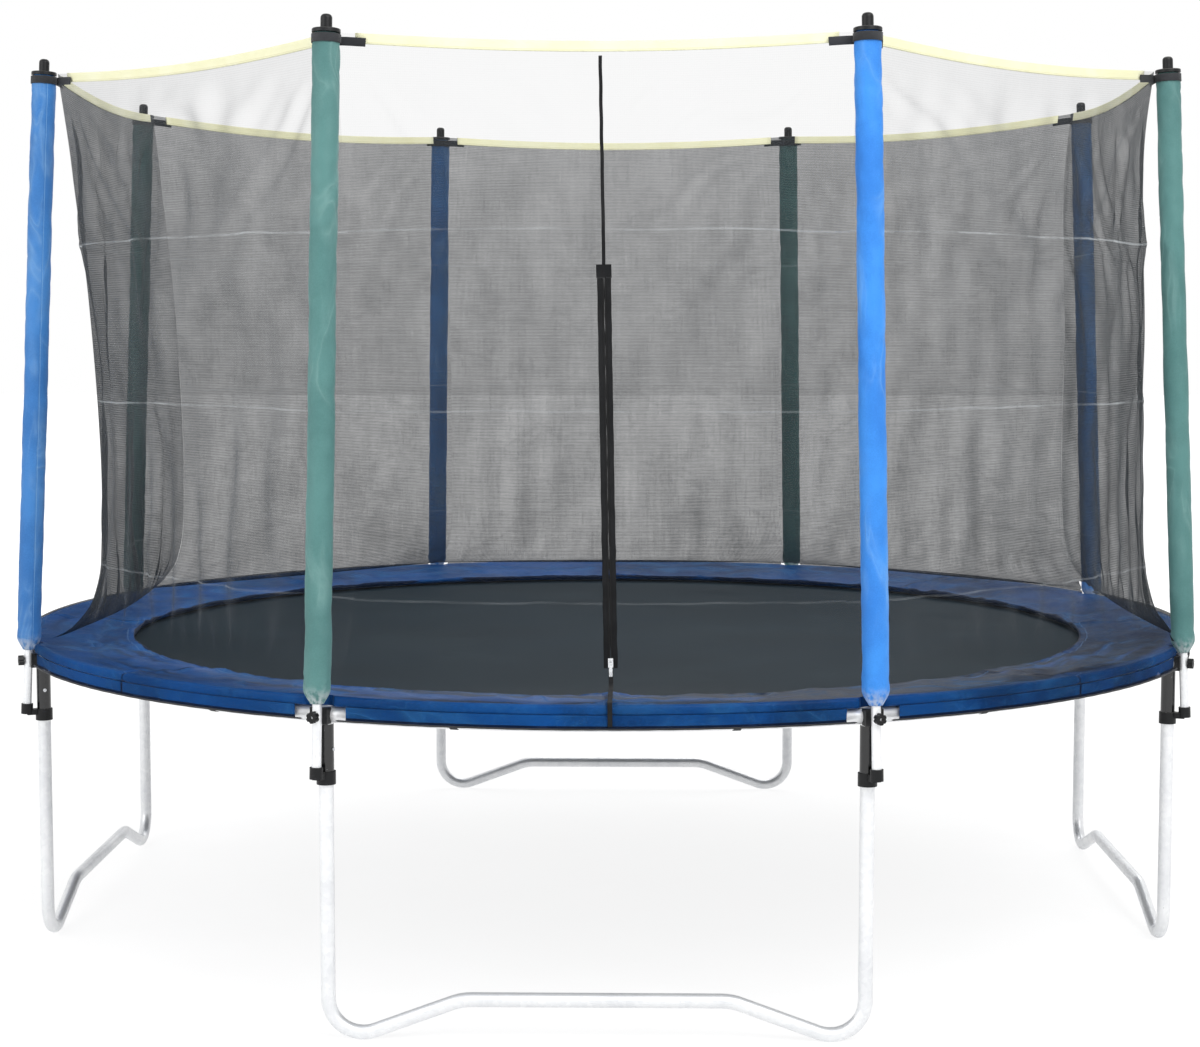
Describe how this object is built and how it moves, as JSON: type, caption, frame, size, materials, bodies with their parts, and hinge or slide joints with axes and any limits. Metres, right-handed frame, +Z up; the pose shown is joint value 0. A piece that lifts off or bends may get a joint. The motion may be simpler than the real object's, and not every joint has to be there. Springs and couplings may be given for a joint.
{
  "type": "trampoline",
  "caption": "Round garden trampoline with a safety net on padded poles, bent-tube legs, a padded spring cover and a zip door in the net.",
  "frame": {"origin": "centre of the round frame, on the ground", "axes": "+Z up, -Y towards the zip door at the front, +X to the right seen from the front"},
  "size_m": [3.6914, 3.6914, 2.6191],
  "materials": {
    "galvanised_tube": "satin",
    "zinc_steel": "satin",
    "black_plastic": "satin",
    "green_sleeve": "satin",
    "blue_sleeve": "satin",
    "mat_fabric": "matte",
    "webbing": "matte",
    "pad_vinyl": "satin",
    "foam": "matte",
    "net_mesh": "matte",
    "yellow_band": "matte",
    "zip_tape": "matte",
    "zip_metal": "gloss"
  },
  "bodies": {
    "frame": {"top_rail_1": "galvanised_tube", "top_rail_2": "galvanised_tube", "top_rail_3": "galvanised_tube", "top_rail_4": "galvanised_tube", "top_rail_5": "galvanised_tube", "top_rail_6": "galvanised_tube", "top_rail_7": "galvanised_tube", "top_rail_8": "galvanised_tube", "leg_base_front": "galvanised_tube", "leg_base_right": "galvanised_tube", "leg_base_back": "galvanised_tube", "leg_base_left": "galvanised_tube", "leg_upright_1": "galvanised_tube", "leg_upright_2": "galvanised_tube", "leg_upright_3": "galvanised_tube", "leg_upright_4": "galvanised_tube", "leg_upright_5": "galvanised_tube", "leg_upright_6": "galvanised_tube", "leg_upright_7": "galvanised_tube", "leg_upright_8": "galvanised_tube", "pole_lower_1": "galvanised_tube", "pole_lower_2": "galvanised_tube", "pole_lower_3": "galvanised_tube", "pole_lower_4": "galvanised_tube", "pole_lower_5": "galvanised_tube", "pole_lower_6": "galvanised_tube", "pole_lower_7": "galvanised_tube", "pole_lower_8": "galvanised_tube", "pole_upper_tubes": "galvanised_tube", "pole_sleeve_1": "green_sleeve", "pole_sleeve_2": "blue_sleeve", "pole_sleeve_3": "green_sleeve", "pole_sleeve_4": "blue_sleeve", "pole_sleeve_5": "green_sleeve", "pole_sleeve_6": "blue_sleeve", "pole_sleeve_7": "green_sleeve", "pole_sleeve_8": "blue_sleeve", "pole_caps": "black_plastic", "pole_foot_brackets": "black_plastic", "rail_saddles": "black_plastic", "hand_nuts": "black_plastic", "pole_bolts": "zinc_steel", "socket_screws": "zinc_steel", "springs": "zinc_steel", "pad_ties": "webbing", "net_straps": "webbing", "net_hem_cord": "webbing", "pad_cover": "pad_vinyl", "pad_foam": "foam", "safety_net": "net_mesh", "net_top_band": "yellow_band", "zip_tapes": "zip_tape"},
    "mat": {"jumping_mat": "mat_fabric", "mat_webbing": "webbing", "mat_loops": "webbing", "mat_rings": "zinc_steel"},
    "slider": {"zip_slider": "zip_metal"},
    "pull": {"zip_pull": "zip_metal"}
  },
  "joints": [
    {"name": "mat_bounce", "type": "slide", "parent": "frame", "child": "mat", "axis": [0, 0, 1], "range_m": [-0.28, 0], "stiffness_N_per_m": 5000, "springref_m": 0.05, "deforming": ["springs"]},
    {"name": "zip_slide", "type": "slide", "parent": "frame", "child": "slider", "axis": [-0.0175, 0, 0.9998], "range_m": [0, 0.97]},
    {"name": "pull_swing", "type": "hinge", "parent": "slider", "child": "pull", "pos_m": [0.03567, -1.6131, 0.9788], "axis": [-0.9998, 0, -0.0175], "range_deg": [0, 165]}
  ]
}
